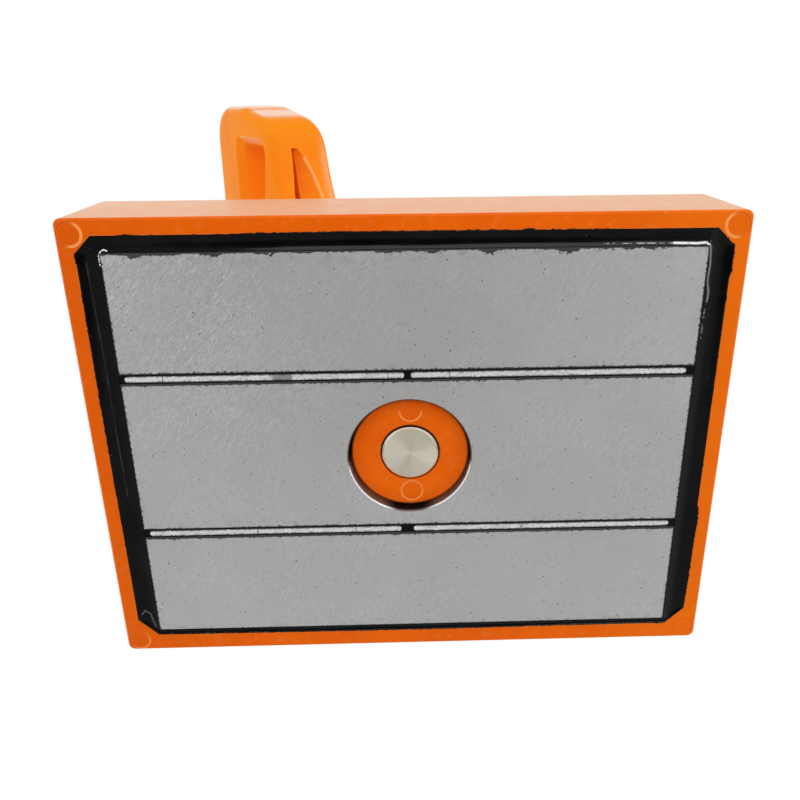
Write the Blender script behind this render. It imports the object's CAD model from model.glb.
import math
import random
import bpy
import bmesh
from mathutils import Matrix, Vector, noise

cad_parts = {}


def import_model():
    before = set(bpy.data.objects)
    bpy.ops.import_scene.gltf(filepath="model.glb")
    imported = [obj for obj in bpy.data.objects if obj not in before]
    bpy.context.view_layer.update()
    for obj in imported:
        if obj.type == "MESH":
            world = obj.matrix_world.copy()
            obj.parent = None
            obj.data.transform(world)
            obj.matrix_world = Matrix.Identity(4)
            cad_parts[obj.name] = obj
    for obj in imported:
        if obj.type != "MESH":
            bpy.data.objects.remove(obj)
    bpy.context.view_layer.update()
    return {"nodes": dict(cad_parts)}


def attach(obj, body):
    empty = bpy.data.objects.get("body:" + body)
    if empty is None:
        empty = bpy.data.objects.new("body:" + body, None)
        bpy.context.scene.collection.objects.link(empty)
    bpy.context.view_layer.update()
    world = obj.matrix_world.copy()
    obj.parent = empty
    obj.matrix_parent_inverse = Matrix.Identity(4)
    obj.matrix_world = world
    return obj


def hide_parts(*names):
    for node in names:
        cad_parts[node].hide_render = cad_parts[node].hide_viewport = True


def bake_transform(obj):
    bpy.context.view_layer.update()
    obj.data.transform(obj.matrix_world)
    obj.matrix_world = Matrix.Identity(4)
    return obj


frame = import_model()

random.seed(7)
nodes = frame["nodes"]
MM = 0.001

# ------------------------------------------------------------------ node-tree helper


class Tree:
    """Small helper for building a shader node tree."""

    def __init__(self, name):
        self.mat = bpy.data.materials.new(name)
        self.mat.use_nodes = True
        self.t = self.mat.node_tree
        self.t.nodes.clear()
        self.out = self.new("ShaderNodeOutputMaterial")
        tc = self.new("ShaderNodeTexCoord")
        sc = self.new("ShaderNodeVectorMath", operation="SCALE")
        self.t.links.new(tc.outputs["Object"], sc.inputs[0])
        sc.inputs["Scale"].default_value = 1000.0
        self.p = sc.outputs[0]                      # position in millimetres
        sep = self.new("ShaderNodeSeparateXYZ")
        self.t.links.new(self.p, sep.inputs[0])
        self.x, self.y, self.z = sep.outputs

    def new(self, kind, **props):
        n = self.t.nodes.new(kind)
        for k, v in props.items():
            setattr(n, k, v)
        return n

    def put(self, socket, value):
        if value is None:
            return
        if hasattr(value, "is_linked"):
            self.t.links.new(value, socket)
        elif isinstance(value, (tuple, list)) and socket.type == "RGBA" and len(value) == 3:
            socket.default_value = (*value, 1.0)
        else:
            socket.default_value = value

    def m(self, op, a, b=None, c=None, clamp=False):
        n = self.new("ShaderNodeMath", operation=op, use_clamp=clamp)
        for i, v in enumerate((a, b, c)):
            self.put(n.inputs[i], v)
        return n.outputs[0]

    def add(self, a, b):
        return self.m("ADD", a, b)

    def sub(self, a, b):
        return self.m("SUBTRACT", a, b)

    def mul(self, a, b):
        return self.m("MULTIPLY", a, b)

    def step(self, v, lo, hi):
        """smoothstep from 0 at lo to 1 at hi"""
        n = self.new("ShaderNodeMapRange", interpolation_type="SMOOTHSTEP")
        self.put(n.inputs["Value"], v)
        n.inputs["From Min"].default_value = lo
        n.inputs["From Max"].default_value = hi
        return n.outputs[0]

    def remap(self, v, a, b, c, d):
        n = self.new("ShaderNodeMapRange")
        self.put(n.inputs["Value"], v)
        for k, w in zip(("From Min", "From Max", "To Min", "To Max"), (a, b, c, d)):
            n.inputs[k].default_value = w
        return n.outputs[0]

    def place(self, loc=(0, 0, 0), rot=(0, 0, 0), scale=(1, 1, 1), vec=None, kind="TEXTURE"):
        n = self.new("ShaderNodeMapping", vector_type="POINT")
        self.put(n.inputs["Vector"], vec or self.p)
        n.inputs["Location"].default_value = loc
        n.inputs["Rotation"].default_value = rot
        n.inputs["Scale"].default_value = scale
        return n.outputs[0]

    def turned(self, angle, across, along, seed=0.0):
        """position turned by angle about Z, then stretched: x is along, y is across"""
        a = self.place(rot=(0, 0, -math.radians(angle)))
        return self.place(vec=a, scale=(along, across, across), loc=(seed, seed * 1.7, 0))

    def noise(self, scale, detail=2.0, rough=0.5, vec=None, dist=0.0):
        n = self.new("ShaderNodeTexNoise")
        self.put(n.inputs["Vector"], vec or self.p)
        n.inputs["Scale"].default_value = scale
        n.inputs["Detail"].default_value = detail
        n.inputs["Roughness"].default_value = rough
        n.inputs["Distortion"].default_value = dist
        return n.outputs["Fac"] if "Fac" in n.outputs else n.outputs[0]

    def cells(self, scale, vec=None, feature="F1", rand=1.0):
        n = self.new("ShaderNodeTexVoronoi", feature=feature)
        self.put(n.inputs["Vector"], vec or self.p)
        n.inputs["Scale"].default_value = scale
        n.inputs["Randomness"].default_value = rand
        return n

    def frac(self, v):
        return self.m("FRACT", v)

    def hash2(self, a, b, seed):
        w = self.add(self.mul(a, 12.9898), seed * 1.37)
        if b is not None:
            w = self.add(w, self.mul(b, 78.233))
        n = self.new("ShaderNodeTexWhiteNoise", noise_dimensions="1D")
        self.t.links.new(w, n.inputs["W"])
        return n.outputs["Value"]

    def scratches(self, angle, width, length, share, seed, warp=None):
        """straight scratches of random place and strength, all at one angle"""
        c, s = math.cos(math.radians(angle)), math.sin(math.radians(angle))
        u = self.add(self.mul(self.x, c), self.mul(self.y, s))
        v = self.sub(self.mul(self.y, c), self.mul(self.x, s))
        if warp is not None:
            v = self.add(v, warp)
        row = self.mul(v, 1.0 / width)
        rid = self.m("FLOOR", row)
        shift = self.mul(self.hash2(rid, None, seed), 17.0)
        cell = self.add(self.mul(u, 1.0 / length), shift)
        cid = self.m("FLOOR", cell)
        h = self.hash2(rid, cid, seed + 3.3)
        on = self.remap(h, 1.0 - share, 1.0, 0.0, 1.0)
        on = self.m("MAXIMUM", on, 0.0)
        fu = self.frac(cell)
        win = self.mul(self.step(fu, 0.02, 0.3), self.m("SUBTRACT", 1.0, self.step(fu, 0.6, 0.98)))
        fv = self.m("ABSOLUTE", self.sub(self.mul(self.frac(row), 2.0), 1.0))
        prof = self.m("SUBTRACT", 1.0, self.step(fv, 0.30, 0.95))
        return self.mul(self.mul(self.m("POWER", on, 0.6), win), prof)

    def mix(self, fac, a, b, blend="MIX"):
        n = self.new("ShaderNodeMix", data_type="RGBA", blend_type=blend)
        self.put(n.inputs[0], fac)
        self.put(n.inputs[6], a)
        self.put(n.inputs[7], b)
        return n.outputs[2]

    def lerp(self, fac, a, b):
        n = self.new("ShaderNodeMix", data_type="FLOAT")
        self.put(n.inputs[0], fac)
        self.put(n.inputs[2], a)
        self.put(n.inputs[3], b)
        return n.outputs[0]

    def bump(self, height, strength=0.3, distance=0.05, normal=None):
        n = self.new("ShaderNodeBump")
        n.inputs["Strength"].default_value = strength
        n.inputs["Distance"].default_value = distance * MM
        self.put(n.inputs["Height"], height)
        if normal is not None:
            self.put(n.inputs["Normal"], normal)
        return n.outputs[0]

    def edge(self, radius_mm=0.5, samples=4):
        """1 near convex or concave edges, 0 on open faces"""
        bev = self.new("ShaderNodeBevel", samples=samples)
        bev.inputs["Radius"].default_value = radius_mm * MM
        geo = self.new("ShaderNodeNewGeometry")
        dot = self.new("ShaderNodeVectorMath", operation="DOT_PRODUCT")
        self.t.links.new(bev.outputs[0], dot.inputs[0])
        self.t.links.new(geo.outputs["Normal"], dot.inputs[1])
        return self.m("SUBTRACT", 1.0, dot.outputs["Value"], clamp=True)

    def principled(self, **kw):
        b = self.new("ShaderNodeBsdfPrincipled")
        for k, v in kw.items():
            self.put(b.inputs[k.replace("_", " ")], v)
        self.t.links.new(b.outputs[0], self.out.inputs["Surface"])
        self.bsdf = b
        return b


def segment_mask(t, pts, half, soft=0.06, u_axis=None, v_axis=None):
    """1 within `half` mm of a polyline drawn in XY, or in the two axes given"""
    gx, gy = u_axis or t.x, v_axis or t.y
    total = None
    for (ax, ay), (bx, by) in zip(pts, pts[1:]):
        dx, dy = bx - ax, by - ay
        ln = math.hypot(dx, dy)
        ux, uy = dx / ln, dy / ln
        px, py = t.sub(gx, ax), t.sub(gy, ay)
        u = t.add(t.mul(px, ux), t.mul(py, uy))
        v = t.sub(t.mul(py, ux), t.mul(px, uy))
        uc = t.m("MINIMUM", t.m("MAXIMUM", u, 0.0), ln)
        du = t.sub(u, uc)
        d = t.m("SQRT", t.add(t.mul(du, du), t.mul(v, v)))
        s = t.m("SUBTRACT", 1.0, t.step(d, half - soft, half + soft))
        total = s if total is None else t.m("MAXIMUM", total, s)
    return total


# ------------------------------------------------------------------ materials


def orange_coat(name, deep, mid, pale, grazing, spec=0.06, peel=0.25, graze=1.0, power=9.0, top=0.92, tint=(0.97, 0.95, 0.82), marks=(), streak=(), boss=False, speck_keep=0.93):
    t = Tree(name)
    big = t.noise(0.045, 3.0, 0.5)
    fine = t.noise(0.55, 4.0, 0.55)
    base = t.mix(t.step(big, 0.34, 0.66), deep, mid)
    base = t.mix(t.mul(t.step(fine, 0.5, 0.75), 0.10), base, pale)
    edge = t.edge(0.45, 4)
    # thin paint on sharp edges is a little paler; a few chips show the primer
    worn = t.step(edge, 0.02, 0.20)
    worn = t.mul(worn, t.add(0.35, t.mul(t.step(t.noise(0.5, 3.0, 0.6), 0.40, 0.64), 0.65)))
    base = t.mix(t.mul(worn, 0.55), base, pale)
    chip = t.mul(t.step(edge, 0.03, 0.10), t.step(t.noise(0.30, 4.0, 0.62), 0.675, 0.70))
    base = t.mix(t.mul(chip, 0.85), base, (0.86, 0.72, 0.58))
    # small dark specks pressed in the coat
    cell = t.cells(0.13)
    keep = t.step(t.sepr(cell.outputs["Color"]), speck_keep, speck_keep + 0.01)
    speck = t.mul(keep, t.m("SUBTRACT", 1.0, t.step(cell.outputs["Distance"], 0.014, 0.024)))
    base = t.mix(t.mul(speck, 0.75), base, (0.10, 0.03, 0.01))
    if boss:
        tc = t.new("ShaderNodeTexCoord")
        up = t.new("ShaderNodeSeparateXYZ")
        t.t.links.new(tc.outputs["Normal"], up.inputs[0])
        base = t.mix(t.step(up.outputs[2], -0.70, -0.20), base, t.mix(t.step(big, 0.34, 0.66), (0.88, 0.200, 0.004), (0.91, 0.225, 0.006)))
        # the left of the rim lies in softer light than the right
        down = t.m("SUBTRACT", 1.0, t.step(t.z, 1.6, 2.4))
        base = t.mix(t.mul(t.mul(t.step(t.x, 20.0, 62.0), 0.30), down), base, (0.62, 0.082, 0.0012))
        base = t.mix(t.mul(t.mul(t.step(t.mul(t.x, -1.0), 30.0, 60.0), 0.55), down), base, (0.84, 0.170, 0.0035))
        # the boss darkens towards its edges, where the coat is shaded by the gap
        d0 = t.m("SQRT", t.add(t.mul(t.x, t.x), t.mul(t.y, t.y)))
        low = t.m("SUBTRACT", 1.0, t.step(t.z, 2.2, 2.6))
        on_boss = t.mul(low, t.m("SUBTRACT", 1.0, t.step(d0, 11.4, 11.6)))
        shade = t.mul(t.step(d0, 8.0, 11.2), t.add(0.30, t.mul(t.step(t.y, 2.0, 10.0), 0.30)))
        base = t.mix(t.mul(shade, on_boss), base, (0.50, 0.062, 0.001))
        line = t.m("MAXIMUM", t.step(d0, 10.88, 11.12), t.m("SUBTRACT", 1.0, t.step(d0, 5.72, 5.90)))
        base = t.mix(t.mul(t.mul(line, 0.85), on_boss), base, (0.055, 0.010, 0.002))
    if streak:
        # light caught on the edge of the recess under the handle
        n_ = t.sub(t.mul(t.x, math.cos(math.radians(28.0))), t.mul(t.sub(t.z, 34.0), math.sin(math.radians(28.0))))
        r_ = t.add(t.mul(t.x, math.sin(math.radians(28.0))), t.mul(t.sub(t.z, 34.0), math.cos(math.radians(28.0))))
        glow = segment_mask(t, streak, 0.30, 0.42, t.m("ABSOLUTE", t.y), n_)
        glow = t.mul(glow, t.m("SUBTRACT", 1.0, t.step(r_, 63.0, 65.0)))
        base = t.mix(t.mul(glow, 0.80), base, (1.0, 0.56, 0.20))
        # and on the rounded side below the opening
        side = t.mul(t.step(t.mul(n_, -1.0), 4.0, 7.4), t.m("SUBTRACT", 1.0, t.step(t.m("ABSOLUTE", t.y), 46.0, 56.0)))
        side = t.mul(side, t.m("SUBTRACT", 1.0, t.step(r_, 58.0, 78.0)))
        tc = t.new("ShaderNodeTexCoord")
        to = t.new("ShaderNodeSeparateXYZ")
        t.t.links.new(tc.outputs["Normal"], to.inputs[0])
        back = t.sub(t.mul(to.outputs[0], math.cos(math.radians(28.0))), t.mul(to.outputs[2], math.sin(math.radians(28.0))))
        side = t.mul(side, t.step(back, -0.80, -0.35))    # not on the back
        base = t.mix(t.mul(side, 0.75), base, (0.95, 0.50, 0.24))
    lit = None
    for cx, cy, r, dx, dy, full in marks:
        px, py = t.sub(t.x, cx), t.sub(t.y, cy)
        d = t.m("SQRT", t.add(t.mul(px, px), t.mul(py, py)))
        wide = 0.10 if cy > 40 else 0.0
        ring = t.m("SUBTRACT", 1.0, t.step(t.m("ABSOLUTE", t.sub(d, r)), 0.06 + wide, 0.18 + wide))
        side = t.m("DIVIDE", t.add(t.mul(px, dx), t.mul(py, dy)), t.m("MAXIMUM", d, 0.01))
        ring = t.mul(ring, t.m("MAXIMUM", t.step(side, -0.25, 0.45), full))
        lit = ring if lit is None else t.m("MAXIMUM", lit, ring)
        disc = t.m("SUBTRACT", 1.0, t.step(d, r - 0.35, r - 0.10))
        base = t.mix(t.mul(disc, 0.30), base, tuple(c * 0.86 for c in deep))
    if lit is not None:
        lit = t.mul(lit, t.m("SUBTRACT", 1.0, t.step(t.z, 2.0, 2.4)))
        base = t.mix(t.mul(lit, 0.9), base, (1.0, 0.46, 0.13))
    lw = t.new("ShaderNodeLayerWeight")
    lw.inputs["Blend"].default_value = 0.5
    base = t.mix(t.step(lw.outputs["Facing"], 0.72, 0.92), base, grazing)
    rough = t.add(t.remap(t.noise(0.2, 4.0, 0.6), 0.3, 0.7, 0.26, 0.38), t.mul(chip, 0.3))
    skin = t.add(t.noise(0.42, 2.0, 0.5), t.mul(t.noise(2.6, 3.0, 0.6), 0.15))
    n = t.bump(skin, peel, 0.05)
    n = t.bump(t.m("SUBTRACT", 1.0, chip), 0.5, 0.04, n)
    b = t.principled(Base_Color=base, Roughness=rough, Normal=n, Specular_IOR_Level=spec)
    # lacquer: it mirrors the room only at a grazing angle
    fac = t.m("MINIMUM", t.mul(t.m("POWER", lw.outputs["Facing"], power), graze), top)
    gl = t.new("ShaderNodeBsdfGlossy")
    gl.inputs["Color"].default_value = (*tint, 1)
    t.put(gl.inputs["Roughness"], 0.24)
    t.put(gl.inputs["Normal"], t.bump(t.noise(0.30, 1.0, 0.5), 0.05, 0.03))
    mx = t.new("ShaderNodeMixShader")
    t.t.links.new(fac, mx.inputs[0])
    t.t.links.new(b.outputs[0], mx.inputs[1])
    t.t.links.new(gl.outputs[0], mx.inputs[2])
    t.t.links.new(mx.outputs[0], t.out.inputs["Surface"])
    return t.mat


def _sepr(self, color):
    n = self.new("ShaderNodeSeparateColor")
    self.put(n.inputs[0], color)
    return n.outputs[0]


Tree.sepr = _sepr


def ground_steel():
    t = Tree("ground_steel")
    cloud = t.noise(0.035, 2.0, 0.5)
    mottle = t.noise(0.30, 4.0, 0.6)
    grit = t.noise(2.6, 4.0, 0.7)
    g1 = t.noise(1.0, 3.0, 0.6, t.turned(132, 6.0, 0.9))
    g2 = t.noise(1.0, 3.0, 0.6, t.turned(120, 8.0, 1.1, 5.0))
    grain = t.add(t.add(t.mul(g1, 0.4), t.mul(g2, 0.3)), t.mul(grit, 0.3))
    base = t.mix(t.step(cloud, 0.3, 0.7), (0.602, 0.597, 0.592), (0.637, 0.634, 0.630))
    base = t.mix(t.mul(t.step(grain, 0.44, 0.60), 0.24), base, (0.69, 0.69, 0.69))
    base = t.mix(t.mul(t.step(grit, 0.54, 0.74), 0.20), base, (0.40, 0.40, 0.395))
    base = t.mix(t.mul(t.step(mottle, 0.52, 0.74), 0.12), base, (0.48, 0.475, 0.47))
    # scratches: many faint, some bright in clumps, a few dark
    warp = t.mul(t.noise(0.03, 1.0, 0.5, t.place(loc=(40, 9, 0))), 1.6)
    clump = t.step(t.noise(0.075, 2.0, 0.5, t.place(loc=(11, 4, 0))), 0.40, 0.62)
    corner = t.mul(t.step(t.x, 6.0, 34.0), t.step(t.y, -8.0, 18.0))
    amount = t.add(t.add(t.mul(clump, 0.34), t.mul(corner, 0.62)), 0.10)
    light = None
    for ang, w, ln, share, seed in ((136, 0.11, 1.0, 0.20, 1.0), (128, 0.10, 1.5, 0.17, 2.0), (145, 0.12, 0.8, 0.17, 3.0),
                                    (117, 0.11, 1.2, 0.13, 4.0), (131, 0.13, 3.6, 0.05, 5.0)):
        v = t.scratches(ang, w, ln, share, seed, warp)
        light = v if light is None else t.m("MAXIMUM", light, v)
    light = t.mul(light, amount)
    base = t.mix(t.m('MINIMUM', t.mul(light, 0.80), 0.95), base, (1.0, 1.0, 1.0))
    dark = None
    for ang, w, ln, share, seed in ((134, 0.12, 1.1, 0.15, 11.0), (121, 0.11, 1.6, 0.12, 12.0)):
        v = t.scratches(ang, w, ln, share, seed, warp)
        dark = v if dark is None else t.m("MAXIMUM", dark, v)
    dark = t.mul(dark, t.add(t.add(t.mul(clump, 0.4), t.mul(corner, 0.3)), 0.40))
    base = t.mix(t.mul(dark, 0.50), base, (0.30, 0.30, 0.30))
    # pits
    pits = None
    for size, keep_at, r0, r1, seed, band in ((0.34, 0.35, 0.034, 0.068, 3.0, 0), (0.66, 0.50, 0.055, 0.11, 31.0, 1), (1.0, 0.58, 0.07, 0.14, 77.0, 1)):
        cell = t.cells(size, t.place(loc=(seed, seed * 2.1, 0)))
        p = t.mul(t.step(t.sepr(cell.outputs["Color"]), keep_at, keep_at + 0.03), t.m("SUBTRACT", 1.0, t.step(cell.outputs["Distance"], r0, r1)))
        if band:
            p = t.mul(p, t.step(t.noise(0.06, 2.0, 0.5, t.place(loc=(seed * 1.3, 3, 0))), 0.44, 0.54))
        pits = p if pits is None else t.m("MAXIMUM", pits, p)
    base = t.mix(t.mul(pits, 0.85), base, (0.05, 0.05, 0.05))
    # grime at the outer edges and along the two magnet rows
    ax, ay = t.m("ABSOLUTE", t.x), t.m("ABSOLUTE", t.y)
    d_side = t.sub(52.9, ax)
    d_low = t.add(t.y, 39.5)
    d_top = t.sub(39.5, t.y)
    up = t.m("MINIMUM", t.m("ABSOLUTE", t.sub(t.y, 17.15)), t.m("ABSOLUTE", t.add(t.y, 15.35)))    # edge above each row
    dn = t.m("MINIMUM", t.m("ABSOLUTE", t.sub(t.y, 15.35)), t.m("ABSOLUTE", t.add(t.y, 17.15)))    # edge below each row
    wob = t.noise(1.5, 5.0, 0.74)
    slow = t.noise(0.20, 3.0, 0.6, t.place(loc=(7, 3, 0)))
    wide = t.step(t.noise(0.16, 2.0, 0.5, t.place(loc=(1.5, 2, 0))), 0.44, 0.64)

    def near_edge(d, core, reach, lo=0.50, soft=0.14):
        return t.m("SUBTRACT", 1.0, t.step(t.sub(d, t.mul(t.step(wob, lo, 0.80), reach)), core, core + soft))

    g_top = t.m("SUBTRACT", 1.0, t.step(t.sub(d_top, t.add(t.mul(t.step(slow, 0.45, 0.75), 0.85), t.mul(t.step(wob, 0.42, 0.75), t.add(0.16, t.mul(wide, 0.5))))), 0.22, 0.32))
    g_side = near_edge(d_side, 0.20, 0.45, 0.42, 0.10)
    g_low = near_edge(d_low, 0.20, 0.25, 0.46, 0.10)
    g_up = near_edge(up, 0.22, 0.50, 0.42, 0.10)
    g_dn = near_edge(dn, 0.27, 0.55, 0.44, 0.10)
    # dark residue in the rim of the hole, wiped bright at the lower left and lower right
    hx, hy = t.sub(t.x, 0.12), t.add(t.y, 0.40)
    dh = t.m("SQRT", t.add(t.mul(hx, hx), t.mul(hy, hy)))
    dirty = t.m("MAXIMUM", t.step(hy, -3.0, -0.5), t.m("SUBTRACT", 1.0, t.step(t.m("ABSOLUTE", hx), 2.2, 5.5)))
    ring = t.m("SUBTRACT", 1.0, t.step(dh, 11.86, 12.02))
    base = t.mix(t.mul(ring, t.mul(t.m("SUBTRACT", 1.0, dirty), 0.85)), base, (1.0, 1.0, 1.0))
    base = t.mix(t.mul(ring, t.mul(dirty, 0.92)), base, (0.085, 0.030, 0.022))
    grime = t.m("MAXIMUM", t.m("MAXIMUM", t.m("MAXIMUM", g_top, g_side), t.m("MAXIMUM", g_low, g_up)), g_dn)
    near = t.m("MINIMUM", t.m("MINIMUM", t.mul(d_top, 0.7), d_side), t.m("MINIMUM", d_low, t.m("MINIMUM", up, dn)))
    halo = t.m("SUBTRACT", 1.0, t.step(near, 0.0, 2.4))
    halo = t.mul(halo, t.step(t.noise(0.55, 4.0, 0.65, t.place(loc=(5, 60, 0))), 0.48, 0.70))
    base = t.mix(t.mul(halo, 0.38), base, (0.24, 0.23, 0.215))
    base = t.mix(t.mul(grime, 0.94), base, (0.020, 0.018, 0.015))
    rough = t.add(t.remap(grain, 0.35, 0.65, 0.36, 0.46), t.mul(grime, 0.3))
    n = t.bump(t.sub(t.mul(grain, 0.6), t.mul(pits, 1.5)), 0.12, 0.04)
    metal = t.m("SUBTRACT", 1.0, t.mul(grime, 0.95))
    t.principled(Base_Color=base, Metallic=metal, Roughness=rough, Normal=n, Specular_IOR_Level=t.sub(0.5, t.mul(grime, 0.46)))
    return t.mat


def nickel():
    t = Tree("nickel_magnet")
    n1 = t.noise(0.9, 4.0, 0.6, t.place(scale=(0.35, 1, 1)))
    base = t.mix(t.step(n1, 0.35, 0.7), (0.82, 0.82, 0.80), (0.62, 0.62, 0.61))
    scuff = t.step(t.noise(2.8, 4.0, 0.75, t.place(scale=(0.6, 1.3, 1), loc=(4, 9, 0))), 0.53, 0.62)
    base = t.mix(t.mul(scuff, 0.60), base, (0.36, 0.36, 0.35))
    # cracks between the bars' lengths and one grey smear
    a = t.step(t.y, -1.0, 1.0)
    wig = t.mul(t.sub(t.noise(1.6, 2.0, 0.5), 0.5), 0.9)
    crack = None
    for cx, row in ((44.97, 1), (3.9, 1), (-7.5, 1), (30.5, 0), (-22.0, 0), (11.0, 0)):
        d = t.m("ABSOLUTE", t.add(t.sub(t.x, cx), wig))
        c = t.m("SUBTRACT", 1.0, t.step(d, 0.05, 0.14))
        c = t.mul(c, a if row else t.m("SUBTRACT", 1.0, a))
        crack = c if crack is None else t.m("MAXIMUM", crack, c)
    base = t.mix(t.mul(crack, 0.9), base, (0.08, 0.08, 0.08))
    sm = t.mul(t.step(t.add(t.x, t.mul(wig, 1.5)), 20.9, 21.8), t.m("SUBTRACT", 1.0, t.step(t.add(t.x, t.mul(wig, 1.5)), 24.6, 25.6)))
    sm = t.mul(sm, a)
    base = t.mix(t.mul(sm, 0.85), base, (0.20, 0.20, 0.20))
    edge_d = t.m("ABSOLUTE", t.sub(t.m("ABSOLUTE", t.y), 16.25))
    dirt = t.step(t.add(edge_d, t.mul(t.sub(t.noise(2.2, 5.0, 0.78), 0.5), 1.25)), 0.38, 0.45)
    base = t.mix(t.mul(dirt, 0.8), base, (0.06, 0.06, 0.055))
    n = t.bump(n1, 0.3, 0.05)
    t.principled(Base_Color=base, Metallic=0.35, Roughness=t.remap(n1, 0.3, 0.7, 0.28, 0.5), Normal=n)
    return t.mat


def resin(name="black_resin", glints=True):
    t = Tree(name)
    cloud = t.noise(0.16, 3.0, 0.55)
    base = t.mix(t.step(cloud, 0.35, 0.7), (0.0012, 0.0012, 0.0014), (0.0030, 0.0030, 0.0034))
    dust = t.cells(0.9)
    keep = t.step(t.sepr(dust.outputs["Color"]), 0.93, 0.94)
    spot = t.mul(keep, t.m("SUBTRACT", 1.0, t.step(dust.outputs["Distance"], 0.05, 0.12)))
    base = t.mix(t.mul(spot, 0.35), base, (0.22, 0.22, 0.22))
    rough = t.remap(t.noise(0.7, 4.0, 0.6), 0.3, 0.7, 0.07, 0.15)
    if glints:
        marks = segment_mask(t, [(52.96, 37.4), (52.98, 38.9), (52.55, 39.85), (52.0, 40.05), (51.5, 39.85)], 0.11)
        bright = segment_mask(t, [(-46.5, 39.90), (-50.6, 39.80), (-52.2, 39.90), (-53.05, 39.2), (-53.30, 36.0), (-53.20, 33.1), (-53.65, 30.9), (-53.55, 29.3)], 0.19, 0.09)
        tail = segment_mask(t, [(-34.0, 39.95), (-46.5, 39.90)], 0.05, 0.06)
        tail = t.mul(tail, t.step(t.noise(0.5, 3.0, 0.6, t.place(loc=(6, 2, 0))), 0.42, 0.55))
        marks = t.m("MAXIMUM", marks, tail)
        dots = t.step(t.noise(1.4, 2.0, 0.6, t.place(loc=(2, 2, 0))), 0.40, 0.50)
        more = segment_mask(t, [(-53.30, 28.0), (-53.25, 22.1)], 0.16)
        more = t.mul(more, t.step(t.noise(1.4, 3.0, 0.6, t.place(loc=(8, 2, 0))), 0.52, 0.60))
        marks = t.m("MAXIMUM", t.m("MAXIMUM", t.mul(marks, dots), t.mul(bright, t.add(t.mul(dots, 0.25), 0.75))), more)
        base = t.mix(marks, base, (0.85, 0.84, 0.82))
        # faint ridge along the left band, and a paler foot along the right one
        ridge = segment_mask(t, [(55.35, 38.0), (55.05, 20.0), (55.10, 4.0), (54.95, -8.0)], 0.10, 0.14)
        ridge = t.mul(ridge, t.add(0.35, t.mul(t.step(t.noise(0.22, 3.0, 0.6, t.place(loc=(3, 6, 0))), 0.42, 0.62), 0.65)))
        base = t.mix(t.mul(ridge, 0.85), base, (0.042, 0.042, 0.046))
        foot = t.mul(t.step(t.mul(t.x, -1.0), 52.8, 53.0), t.m("SUBTRACT", 1.0, t.step(t.mul(t.x, -1.0), 53.6, 55.1)))
        base = t.mix(t.mul(foot, 0.8), base, (0.0105, 0.0110, 0.0135))
        glint = segment_mask(t, [(56.0, -35.6), (55.3, -34.7), (54.3, -35.6), (53.7, -38.6)], 0.13, 0.16)
        base = t.mix(t.mul(glint, 0.7), base, (0.16, 0.14, 0.18))
    n = t.bump(t.noise(0.30, 2.0, 0.5), 0.12, 0.10)
    n = t.bump(t.noise(2.2, 3.0, 0.6), 0.05, 0.02, n)
    t.principled(Base_Color=base, Roughness=rough, Normal=n, Specular_IOR_Level=0.13)
    return t.mat


def turned_steel():
    t = Tree("turned_steel")
    r = t.m("SQRT", t.add(t.mul(t.x, t.x), t.mul(t.y, t.y)))
    ang = t.m("ARCTAN2", t.y, t.x)
    rings = t.m("SINE", t.mul(r, 26.0))
    rr = t.new("ShaderNodeCombineXYZ")
    t.put(rr.inputs[0], t.mul(r, 3.0))
    ringn = t.noise(1.0, 3.0, 0.7, rr.outputs[0])
    fan = t.m("COSINE", t.mul(t.sub(ang, 0.12), 2.0))
    fan2 = t.m("COSINE", t.add(t.mul(ang, 5.0), t.mul(t.noise(0.25, 2.0, 0.5), 5.0)))
    k = t.add(t.add(t.mul(fan, 0.5), t.mul(fan2, 0.13)), 0.5)
    base = t.mix(t.m("ADD", k, 0.0, clamp=True), (0.74, 0.675, 0.535), (1.0, 0.94, 0.79))
    base = t.mix(t.mul(t.step(ringn, 0.4, 0.65), 0.25), base, (0.92, 0.88, 0.77))
    spots = t.step(t.noise(1.3, 4.0, 0.65), 0.60, 0.72)
    base = t.mix(t.mul(spots, 0.25), base, (0.34, 0.31, 0.27))
    tan = t.new("ShaderNodeTangent", direction_type="RADIAL", axis="Z")
    n = t.bump(t.add(t.mul(rings, 0.5), ringn), 0.12, 0.02)
    t.principled(Base_Color=base, Metallic=1.0, Roughness=t.remap(ringn, 0.3, 0.7, 0.26, 0.38), Anisotropic=0.6, Tangent=tan.outputs[0], Normal=n)
    return t.mat


def plated(name, dark, light, rough=(0.22, 0.4), metallic=1.0, grain=0.8, stain=(0.2, 0.19, 0.18), stain_amt=0.35):
    """turned or plated small metal parts"""
    t = Tree(name)
    n1 = t.noise(grain, 4.0, 0.6)
    n2 = t.noise(3.5, 3.0, 0.6)
    base = t.mix(t.step(n1, 0.35, 0.68), dark, light)
    edge = t.edge(0.25, 4)
    base = t.mix(t.mul(t.step(edge, 0.02, 0.2), 0.4), base, tuple(min(1.0, c * 1.5) for c in light))
    st = t.step(t.noise(0.45, 5.0, 0.65, t.place(loc=(9, 1, 5))), 0.55, 0.75)
    base = t.mix(t.mul(st, stain_amt), base, stain)
    n = t.bump(t.add(t.mul(n1, 0.4), t.mul(n2, 0.6)), 0.15, 0.03)
    t.principled(Base_Color=base, Metallic=metallic, Roughness=t.remap(n1, 0.3, 0.7, *rough), Normal=n)
    return t.mat


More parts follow.
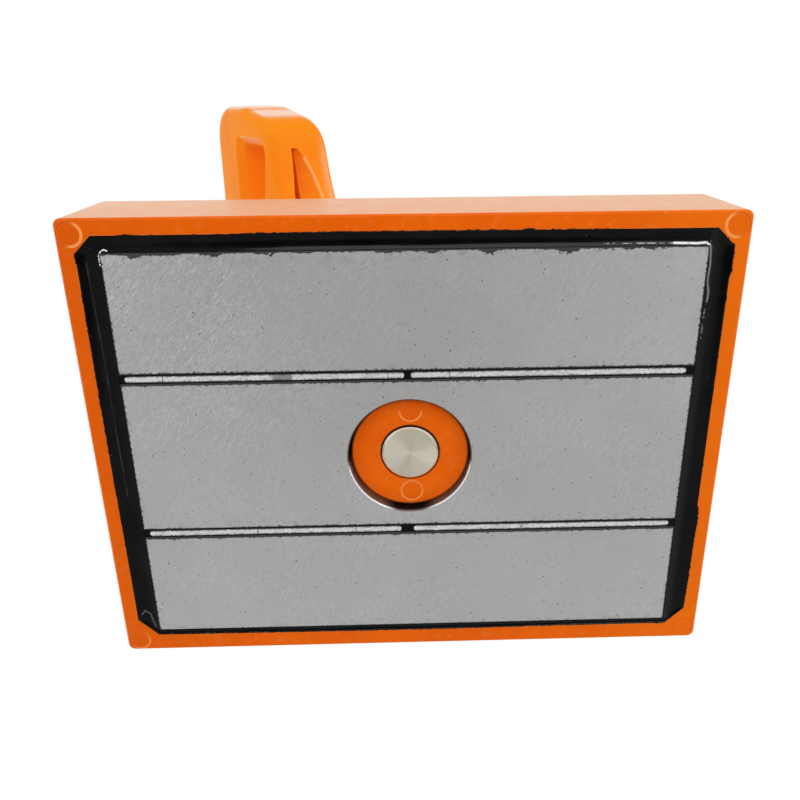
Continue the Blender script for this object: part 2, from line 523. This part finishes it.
def rubber():
    t = Tree("black_rubber")
    n1 = t.noise(1.2, 4.0, 0.6)
    base = t.mix(n1, (0.012, 0.012, 0.012), (0.035, 0.035, 0.034))
    dust = t.step(t.noise(0.5, 5.0, 0.7), 0.55, 0.8)
    base = t.mix(t.mul(dust, 0.3), base, (0.12, 0.115, 0.11))
    n = t.bump(t.noise(4.0, 3.0, 0.6), 0.3, 0.03)
    t.principled(Base_Color=base, Roughness=t.remap(n1, 0.3, 0.7, 0.6, 0.85), Normal=n, Specular_IOR_Level=0.3)
    return t.mat


MATS = {
    "orange_cast": orange_coat("orange_cast", (0.78, 0.114, 0.0014), (0.83, 0.132, 0.0020), (0.98, 0.42, 0.13), (0.68, 0.20, 0.010), graze=1.0, boss=True, speck_keep=0.996, marks=(
        (57.5, 42.75, 2.09, -0.94, -0.34, 0.0), (-57.4, 42.9, 2.09, 0.95, -0.30, 0.0), (57.4, -42.0, 2.09, -0.7, -0.7, 0.0),
        (-0.16, 8.6, 2.09, 0.0, -1.0, 0.0), (-0.24, -8.35, 2.09, 0.0, -1.0, 0.7))),
    "orange_grip": orange_coat("orange_grip", (0.885, 0.238, 0.009), (0.925, 0.278, 0.015), (0.97, 0.39, 0.08), (0.80, 0.26, 0.02), spec=0.0, peel=0.15, graze=14.0, power=18.0, top=0.60, tint=(0.97, 0.94, 0.88),
                               streak=[(24.0, -5.3), (28.0, -4.9), (33.0, -4.2), (39.0, -3.4), (44.0, -2.2), (48.0, -0.6)]),
    "ground_steel": ground_steel(),
    "nickel_magnet": nickel(),
    "black_resin": resin(),
    "turned_steel": turned_steel(),
    "zinc_screw": plated("zinc_screw", (0.50, 0.51, 0.53), (0.64, 0.65, 0.67)),
    "bronze": plated("bronze", (0.48, 0.29, 0.11), (0.66, 0.44, 0.19), (0.3, 0.5)),
    "black_rubber": rubber(),
    "spring_steel": plated("spring_steel", (0.36, 0.36, 0.38), (0.52, 0.52, 0.54), (0.2, 0.35)),
    "cam_steel": plated("cam_steel", (0.10, 0.10, 0.11), (0.19, 0.19, 0.20), (0.3, 0.5), stain=(0.05, 0.045, 0.04)),
}

NODE_MATS = {
    "housing": "orange_cast", "pivot_bracket": "orange_cast", "handle": "orange_grip",
    "pole_plate_centre": "ground_steel", "pole_plate_outer_a": "ground_steel", "pole_plate_outer_b": "ground_steel",
    "magnet_bars_row_a": "nickel_magnet", "magnet_bars_row_b": "nickel_magnet",
    "potting_resin": "black_resin", "plunger_wiper": "black_rubber", "plunger_bush": "bronze",
    "plunger": "turned_steel", "plunger_head": "turned_steel", "return_spring": "spring_steel",
    "bracket_gasket": "black_rubber", "plate_screws": "zinc_screw", "bracket_screws": "zinc_screw",
    "pivot_bushes": "bronze", "cam": "cam_steel", "pivot_pin": "spring_steel",
    "cam_roll_pin": "spring_steel", "cam_spacers": "bronze", "pin_circlips": "cam_steel",
    "handle_grub_screws": "cam_steel",
}
for name, obj in nodes.items():
    m = MATS[NODE_MATS[name]]
    obj.data.materials.clear()
    obj.data.materials.append(m)
    for p in obj.data.polygons:
        p.material_index = 0

# ------------------------------------------------------------------ resin meniscus between the poles and the shell


def mesh_object(name, verts, faces, mat, smooth=True):
    me = bpy.data.meshes.new(name)
    me.from_pydata([Vector(v) * MM for v in verts], [], faces)
    me.validate()
    me.update()
    ob = bpy.data.objects.new(name, me)
    bpy.context.scene.collection.objects.link(ob)
    me.materials.append(MATS[mat])
    if smooth:
        for p in me.polygons:
            p.use_smooth = True
    return ob


def rounded_loop(hx, hy, cy, cut, cut_low, step=0.30):
    """closed loop of (x, y, nx, ny) round a rectangle with cut corners, anticlockwise, softened at the corners"""
    low = cut_low
    c = [(hx, -hy + low), (hx, hy - cut), (hx - cut, hy), (-hx + cut, hy), (-hx, hy - cut), (-hx, -hy + low), (-hx + low, -hy), (hx - low, -hy)]
    pts = []
    for i in range(len(c)):
        (ax, ay), (bx, by) = c[i], c[(i + 1) % len(c)]
        ln = math.hypot(bx - ax, by - ay)
        k = max(1, round(ln / step))
        for j in range(k):
            f = j / k
            pts.append((ax + (bx - ax) * f, ay + (by - ay) * f + cy))
    out = []
    n = len(pts)
    for i in range(n):
        (ax, ay), (bx, by) = pts[i - 2], pts[(i + 2) % n]
        tx, ty = bx - ax, by - ay
        ln = math.hypot(tx, ty)
        out.append((*pts[i], ty / ln, -tx / ln))
    return out


TOP_RUN = [(-54, -0.3), (-50, -0.05), (-40, -0.1), (-33, 0.1), (-22.5, 0.05), (-21, 0.32), (-19.5, 0.12), (-10, 0.15), (10, 0.2), (25, 0.15), (33, 0.0), (44, -0.06), (48.5, 0.14), (51, -0.1), (54, -0.2)]
LOW_RUN = [(-54, -0.1), (-50, -0.12), (-30, -0.08), (-15, 0.1), (10, 0.1), (25, 0.0), (40, -0.1), (54, -0.25)]
LEFT_RUN = [(-37, -0.40), (-26, -0.38), (-22, -0.12), (-12, 0.0), (0, 0.1), (15, 0.1), (28, 0.02), (37.4, -0.12), (37.9, 0.12), (39, 0.1)]
RIGHT_RUN = [(-37, 0.0), (-30, 0.22), (-20, 0.3), (-17, 0.48), (-13, 0.34), (-12.2, -0.12), (0, -0.1), (20, -0.05), (33.6, -0.08), (34.6, 0.30), (38, 0.30)]


def along(run, s):
    if s <= run[0][0]:
        return run[0][1]
    for (a, va), (b, vb) in zip(run, run[1:]):
        if s <= b:
            return va + (vb - va) * (s - a) / (b - a)
    return run[-1][1]


def spill(x, y, nx, ny):
    """how far the resin has run over the shell's rim, in mm; less than nothing where it stops short of it"""
    wx, wy = max(nx, 0) ** 2, max(ny, 0) ** 2
    vx, vy = max(-nx, 0) ** 2, max(-ny, 0) ** 2
    v = wx * along(LEFT_RUN, y) + vx * along(RIGHT_RUN, y) + wy * along(TOP_RUN, x) + vy * along(LOW_RUN, x)
    p = Vector((x, y, 3.0))
    v += 0.05 * noise.noise(p * 0.5) + 0.09 * noise.noise(p * 1.3)
    k = noise.noise(p * 2.1 + Vector((0, 0, 5)))
    v += 0.42 * max(0.0, k - 0.22) - 0.30 * max(0.0, -k - 0.30)
    return max(-0.45, min(v, 0.62))


def meniscus():
    outer = rounded_loop(57.03, 41.63, 0.80, 3.0, 3.8)
    hx, hy = 52.9, 39.5
    rows = [0.0, 0.03, 0.09, 0.18, 0.30, 0.44, 0.58, 0.72, 0.84, 0.93, 1.0]
    verts, ring = [], []
    n = len(outer)
    for i, (x, y, nx, ny) in enumerate(outer):
        ix = max(-hx, min(hx, x))
        iy = max(-hy, min(hy, y))
        if abs(x) > hx and abs(y) > hy:
            pass
        s = spill(x, y, nx, ny)
        # foot of the resin on the pole block
        foot = (ix - nx * 0.02, iy - ny * 0.02)
        q = Vector((x * 0.15, y * 0.15, 9.0))
        q = q * 0.35
        sag = 0.30 + 0.08 * noise.noise(q) + 0.03 * noise.noise(q * 3.3)
        lip = 0.11 + 0.03 * noise.noise(q * 2.0)
        z_in = 0.06 + 0.03 * noise.noise(q * 4.0)
        col = []
        if s < 0:                    # stops short: the whole sheet ends inside the wall
            x, y, s = x + nx * s, y + ny * s, 0.02
        for t in rows:
            px, py = foot[0] + (x - foot[0]) * t, foot[1] + (y - foot[1]) * t
            z = z_in + (lip - z_in) * t + sag * 4 * t * (1 - t) + 0.012 * noise.noise(Vector((px * 0.25, py * 0.25, 1.0)))
            col.append((px, py, max(0.012, z)))
        col.append((x + nx * s * 0.55, y + ny * s * 0.55, lip + 0.015))
        col.append((x + nx * s * 0.90, y + ny * s * 0.90, lip + 0.05))
        col.append((x + nx * (s + 0.02), y + ny * (s + 0.02), 0.262))
        # back, hidden in the shell and the fill
        col.append((x + nx * (s + 0.02), y + ny * (s + 0.02), 0.40))
        col.append((x - nx * 0.3, y - ny * 0.3, 0.75))
        col.append((foot[0] + nx * 0.05, foot[1] + ny * 0.05, 0.75))
        base = len(verts)
        verts.extend(col)
        ring.append((base, len(col)))
    faces = []
    for i in range(n):
        a, k = ring[i]
        b, _ = ring[(i + 1) % n]
        for j in range(k):
            j2 = (j + 1) % k
            faces.append((a + j, a + j2, b + j2, b + j))
    return verts, faces


mv, mf = meniscus()
men = mesh_object("potting_meniscus", mv, mf, "black_resin")
bm = bmesh.new()
bm.from_mesh(men.data)
bmesh.ops.recalc_face_normals(bm, faces=bm.faces)
bm.to_mesh(men.data)
bm.free()
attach(men, "base")

# ------------------------------------------------------------------ return spring, with closed and ground ends


def spring():
    R, wire, z0, z1, turns = 7.1, 0.65, 5.4 + 0.66, 20.32 - 0.66, 6.0
    seg, side = 220, 14
    verts, faces = [], []
    total = turns * 2 * math.pi
    closed = 0.9                     # turns lying flat at each end
    def height(a):
        u = a / (2 * math.pi)
        rise = 1.32                  # pitch of a closed turn
        body = (z1 - z0) - 2 * closed * rise * 0.98
        if u < closed:
            return z0 + rise * 0.98 * u
        if u > turns - closed:
            return z1 - rise * 0.98 * (turns - u)
        return z0 + closed * rise * 0.98 + body * (u - closed) / (turns - 2 * closed)
    for i in range(seg + 1):
        a = total * i / seg
        c = Vector((R * math.cos(a), R * math.sin(a), height(a)))
        out = Vector((math.cos(a), math.sin(a), 0))
        d = 1e-3
        tan = (Vector((R * math.cos(a + d), R * math.sin(a + d), height(a + d))) - c).normalized()
        up = tan.cross(out).normalized() * -1
        for k in range(side):
            f = 2 * math.pi * k / side
            p = c + (out * math.cos(f) + up * math.sin(f)) * wire
            verts.append((p.x, p.y, min(max(p.z, 5.42), 20.30)))
    for i in range(seg):
        for k in range(side):
            k2 = (k + 1) % side
            faces.append((i * side + k, i * side + k2, (i + 1) * side + k2, (i + 1) * side + k))
    faces.append(tuple(range(side - 1, -1, -1)))
    faces.append(tuple(seg * side + k for k in range(side)))
    return verts, faces


sv, sf = spring()
spr = mesh_object("return_spring_coil", sv, sf, "spring_steel")
bm = bmesh.new()
bm.from_mesh(spr.data)
bmesh.ops.recalc_face_normals(bm, faces=bm.faces)
bm.to_mesh(spr.data)
bm.free()
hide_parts("return_spring")
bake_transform(spr)

# ------------------------------------------------------------------ stage: floor, light, camera


def floor():
    me = bpy.data.meshes.new("floor")
    bm = bmesh.new()
    bmesh.ops.create_circle(bm, cap_ends=True, segments=96, radius=1.4)
    bm.to_mesh(me)
    bm.free()
    ob = bpy.data.objects.new("floor", me)
    ob.location = (0, 0, -0.0004)
    bpy.context.scene.collection.objects.link(ob)
    t = Tree("pale_floor")
    geo = t.new("ShaderNodeNewGeometry")
    r = t.m("SQRT", t.add(t.mul(t.x, t.x), t.mul(t.y, t.y)))
    tone = t.noise(0.01, 3.0, 0.5)
    col = t.mix(t.step(tone, 0.3, 0.7), (0.80, 0.80, 0.79), (0.84, 0.84, 0.83))
    b = t.principled(Base_Color=col, Roughness=0.7, Specular_IOR_Level=0.2)
    tr = t.new("ShaderNodeBsdfTransparent")
    mixn = t.new("ShaderNodeMixShader")
    fade = t.m("MAXIMUM", geo.outputs["Backfacing"], t.step(r, 450.0, 1250.0))
    t.t.links.new(fade, mixn.inputs[0])
    t.t.links.new(b.outputs[0], mixn.inputs[1])
    t.t.links.new(tr.outputs[0], mixn.inputs[2])
    t.t.links.new(mixn.outputs[0], t.out.inputs["Surface"])
    me.materials.append(t.mat)
    for flag in ("visible_shadow", "visible_diffuse", "visible_glossy", "visible_transmission", "visible_volume_scatter"):
        setattr(ob, flag, False)


floor()


def world():
    w = bpy.data.worlds.new("studio")
    bpy.context.scene.world = w
    w.use_nodes = True
    nt = w.node_tree
    nt.nodes.clear()
    new = nt.nodes.new
    out = new("ShaderNodeOutputWorld")
    bg = new("ShaderNodeBackground")
    tc = new("ShaderNodeTexCoord")
    sep = new("ShaderNodeSeparateXYZ")
    nt.links.new(tc.outputs["Generated"], sep.inputs[0])
    # brightness by height: dark straight below, grey to the sides below, white above
    ramp = new("ShaderNodeValToRGB")
    mr = new("ShaderNodeMapRange")
    mr.inputs["From Min"].default_value = -1.0
    mr.inputs["From Max"].default_value = 1.0
    nt.links.new(sep.outputs[2], mr.inputs["Value"])
    nt.links.new(mr.outputs[0], ramp.inputs[0])
    cr = ramp.color_ramp
    stops = [(0.0, 0.05), (0.016, 0.15), (0.042, 0.64), (0.09, 0.57), (0.20, 0.61), (0.36, 0.90), (0.50, 1.0), (1.0, 1.0)]
    cr.elements[0].position, cr.elements[0].color = stops[0][0], (stops[0][1],) * 3 + (1,)
    cr.elements[1].position, cr.elements[1].color = stops[-1][0], (stops[-1][1],) * 3 + (1,)
    for pos, v in stops[1:-1]:
        e = cr.elements.new(pos)
        e.color = (v, v, v, 1)
    lp = new("ShaderNodeLightPath")
    mixc = new("ShaderNodeMix")
    mixc.data_type = "RGBA"
    nt.links.new(lp.outputs["Is Camera Ray"], mixc.inputs[0])
    nt.links.new(ramp.outputs[0], mixc.inputs[6])
    mixc.inputs[7].default_value = (1, 1, 1, 1)
    nt.links.new(mixc.outputs[2], bg.inputs[0])
    bg.inputs[1].default_value = 1.0
    nt.links.new(bg.outputs[0], out.inputs[0])


world()


def area(name, loc, target, size, watts, color=(1, 1, 1)):
    li = bpy.data.lights.new(name, "AREA")
    li.shape = "RECTANGLE"
    li.size, li.size_y = size
    li.energy = watts
    li.color = color
    ob = bpy.data.objects.new(name, li)
    bpy.context.scene.collection.objects.link(ob)
    ob.location = loc
    ob.rotation_mode = "QUATERNION"
    ob.rotation_quaternion = (Vector(target) - Vector(loc)).to_track_quat("-Z", "Y")
    return ob


area("key", (-0.40, -0.50, 0.80), (0, 0, 0.03), (0.6, 0.5), 3.5)
area("fill", (0.7, -0.35, 0.25), (0, 0, 0.03), (0.5, 0.5), 1.2)
area("low", (-0.10, 0.42, -0.62), (0, 0, 0.03), (0.5, 0.4), 2.4)

cam_data = bpy.data.cameras.new("camera")
cam = bpy.data.objects.new("camera", cam_data)
bpy.context.scene.collection.objects.link(cam)
bpy.context.scene.camera = cam
right = Vector((-0.9996348982, -0.0089909143, -0.0254800649))
down = Vector((0.0176671946, -0.9309930233, -0.3646091891))
ahead = Vector((-0.0204435927, -0.3649262309, 0.9308119603))
rot = Matrix((right, -down, -ahead)).transposed()
cam.matrix_world = Matrix.Translation((0.0007005, 0.0652359, -0.1328472)) @ rot.to_4x4()
cam_data.sensor_width = 36.0
cam_data.lens = 34.668
cam_data.shift_x = -0.026555
cam_data.shift_y = -0.011388
cam_data.clip_start = 0.005
cam_data.clip_end = 20.0

scene = bpy.context.scene
scene.view_settings.view_transform = "Standard"
scene.view_settings.look = "None"
scene.view_settings.exposure = 0.0
scene.view_settings.gamma = 1.0
